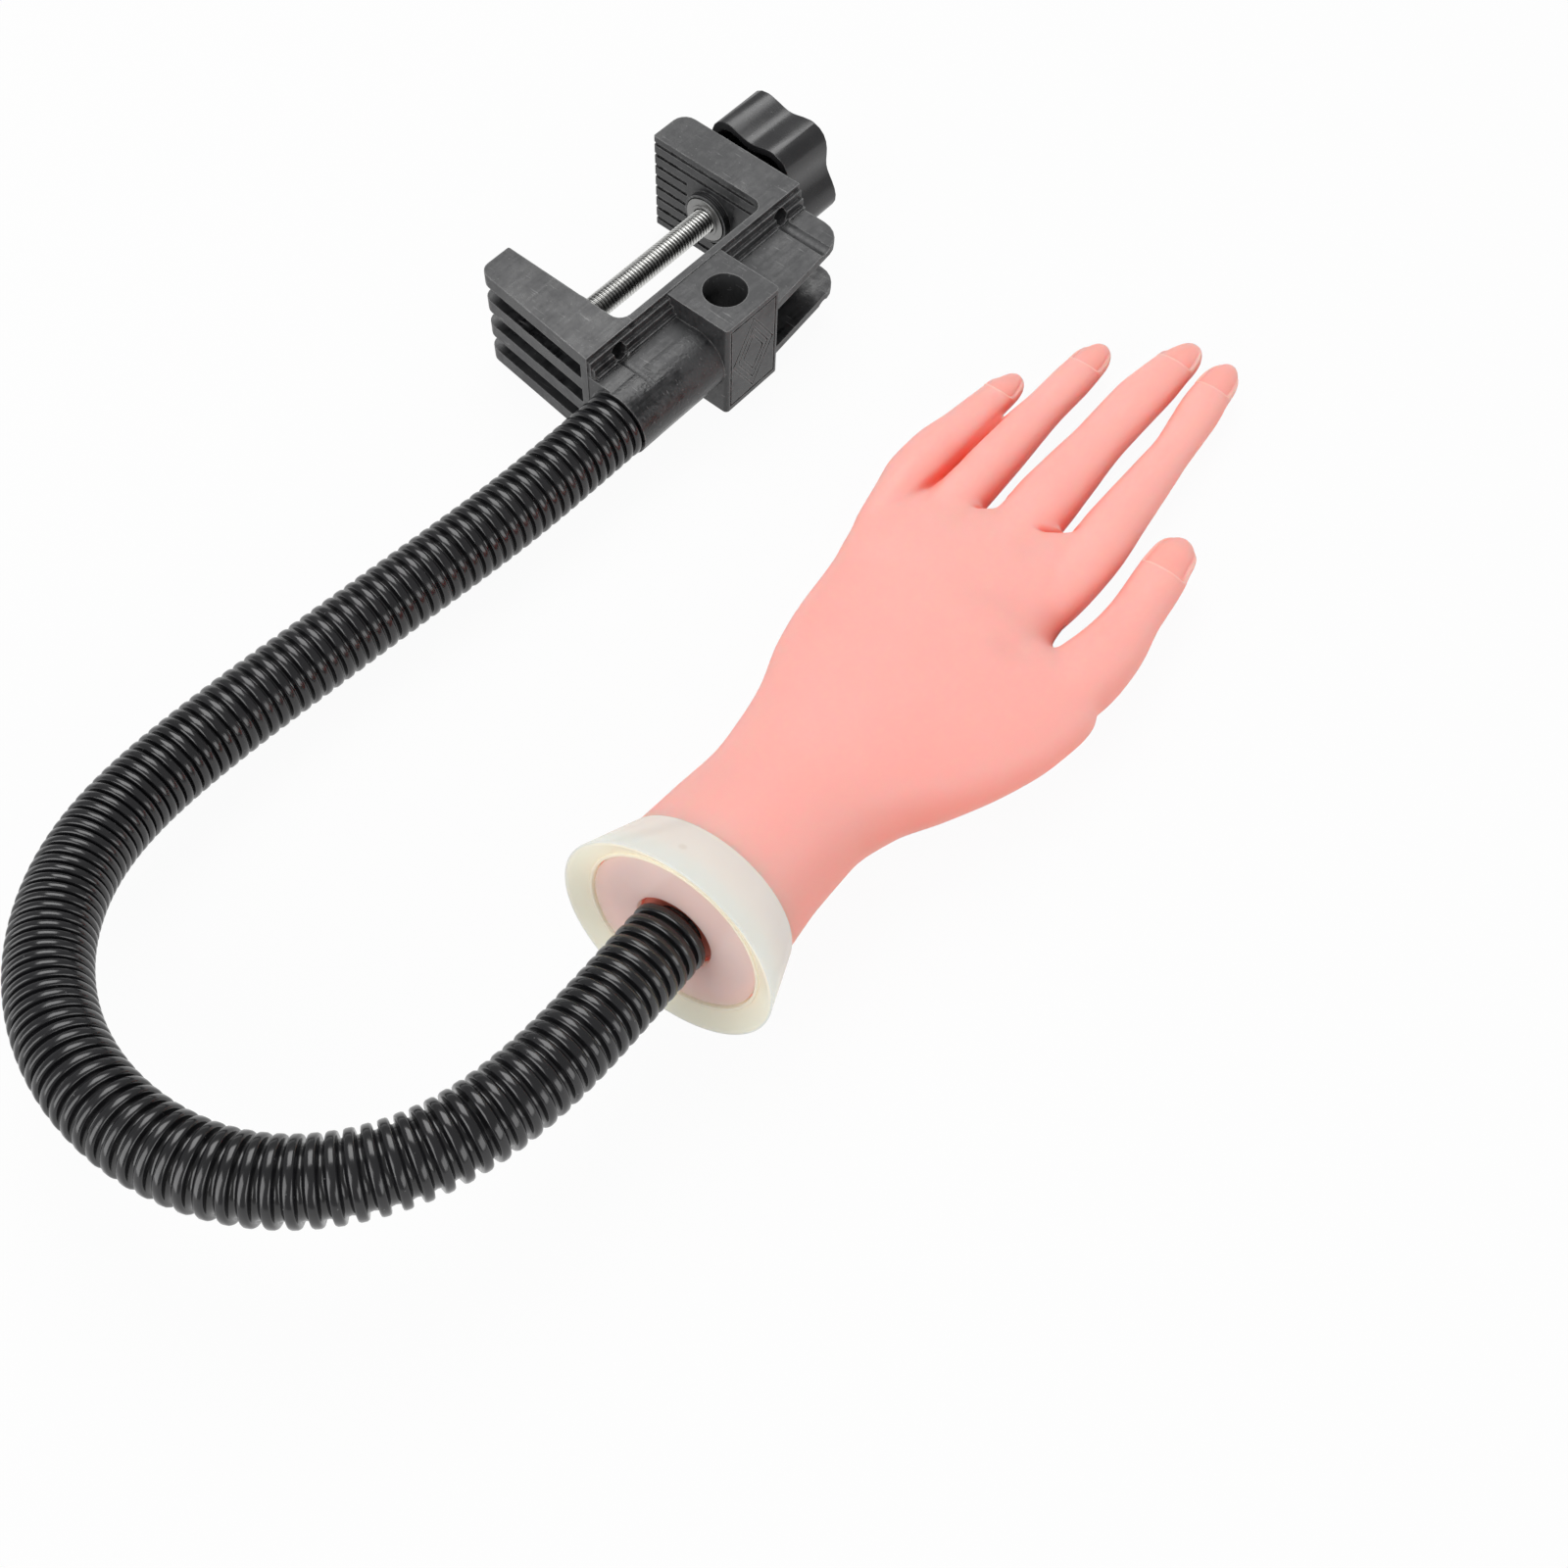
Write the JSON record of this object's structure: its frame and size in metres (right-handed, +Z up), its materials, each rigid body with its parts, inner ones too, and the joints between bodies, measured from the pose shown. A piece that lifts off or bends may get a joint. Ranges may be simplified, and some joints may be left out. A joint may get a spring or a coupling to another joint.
{
  "type": "nail practice hand",
  "caption": "Soft left hand for practising nail work, on a ribbed flexible arm that stands in a screw clamp for a table edge.",
  "frame": {"origin": "where the clamp screw's axis meets the fixed jaw's gripping face", "axes": "+Z is up from the table that the object lies on, +X runs along the screw towards its knob, +Y runs from the clamp's spine towards its open side"},
  "size_m": [0.4122, 0.2321, 0.0634],
  "materials": {
    "clamp_plastic": "matt black moulding with a fine grain",
    "insert_steel": "zinc plated",
    "screw_steel": "bright zinc plated, threaded",
    "pad_plastic": "black moulding",
    "knob_plastic": "glossy black",
    "plug_plastic": "black moulding",
    "hose_plastic": "glossy black",
    "core_metal": "plain metal, unseen",
    "cup_plastic": "milky, lets light through",
    "disc_plastic": "milky with a pink tint",
    "socket_plastic": "pink",
    "hand_vinyl": "soft matt salmon pink"
  },
  "bodies": {
    "clamp": {"clamp_frame": "clamp_plastic", "thread_insert": "insert_steel", "base_plug": "plug_plastic", "hose_section_1": "hose_plastic", "core_section_1": "core_metal"},
    "arm_2": {"hose_section_2": "hose_plastic", "core_section_2": "core_metal"},
    "arm_3": {"hose_section_3": "hose_plastic", "core_section_3": "core_metal"},
    "arm_4": {"hose_section_4": "hose_plastic", "core_section_4": "core_metal"},
    "arm_5": {"hose_section_5": "hose_plastic", "core_section_5": "core_metal"},
    "arm_6": {"hose_section_6": "hose_plastic", "core_section_6": "core_metal"},
    "arm_7": {"hose_section_7": "hose_plastic", "core_section_7": "core_metal", "wrist_plug": "plug_plastic"},
    "hand": {"socket_tube": "socket_plastic", "end_disc": "disc_plastic", "wrist_cup": "cup_plastic", "hand": "hand_vinyl"},
    "pad": {"pressure_pad": "pad_plastic"},
    "screw": {"clamp_screw": "screw_steel", "knob": "knob_plastic"}
  },
  "joints": [
    {"name": "base_lift", "type": "hinge", "parent": "clamp", "child": "arm_2", "pos_m": [-0.05246, -0.03654, -0.00213], "axis": [0.0133, 0.9999, 0], "range_deg": [-30, 30], "deforming": ["hose_section_1", "hose_section_2"]},
    {"name": "base_swing", "type": "hinge", "parent": "arm_2", "child": "arm_3", "pos_m": [-0.12583, -0.03246, -0.00345], "axis": [0, 0, 1], "range_deg": [-30, 6], "deforming": ["hose_section_2", "hose_section_3"]},
    {"name": "middle_swing", "type": "hinge", "parent": "arm_3", "child": "arm_4", "pos_m": [-0.19449, -0.03301, -0.00022], "axis": [0, 0, 1], "range_deg": [-30, 5], "deforming": ["hose_section_3", "hose_section_4"]},
    {"name": "bend_lift", "type": "hinge", "parent": "arm_4", "child": "arm_5", "pos_m": [-0.25187, -0.07015, 0.0109], "axis": [-0.8735, 0.4869, 0], "range_deg": [-30, 20], "deforming": ["hose_section_4", "hose_section_5"]},
    {"name": "bend_swing", "type": "hinge", "parent": "arm_5", "child": "arm_6", "pos_m": [-0.24663, -0.14717, 0.01907], "axis": [0, 0, 1], "range_deg": [-30, 5], "deforming": ["hose_section_5", "hose_section_6"]},
    {"name": "wrist_lift", "type": "hinge", "parent": "arm_6", "child": "arm_7", "pos_m": [-0.17089, -0.17024, 0.01566], "axis": [0.074, -0.9973, 0], "range_deg": [-30, 30], "deforming": ["hose_section_6", "hose_section_7"]},
    {"name": "hand_twist", "type": "hinge", "parent": "arm_7", "child": "hand", "pos_m": [-0.14097, -0.16771, 0.01267], "axis": [0.9914, 0.085, -0.0993], "range_deg": [-90, 90]},
    {"name": "pad_slide", "type": "slide", "parent": "clamp", "child": "pad", "axis": [0.9992, 0, 0.0409], "range_m": [0, 0.055]},
    {"name": "knob_turn", "type": "hinge", "parent": "pad", "child": "screw", "pos_m": [0, 0, 0], "axis": [0.9992, 0, 0.0409], "range_deg": [0, 15830]}
  ],
  "couplings": [
    {"joint": "pad_slide", "follows": "knob_turn", "m_per_rad": 0.00019894}
  ]
}
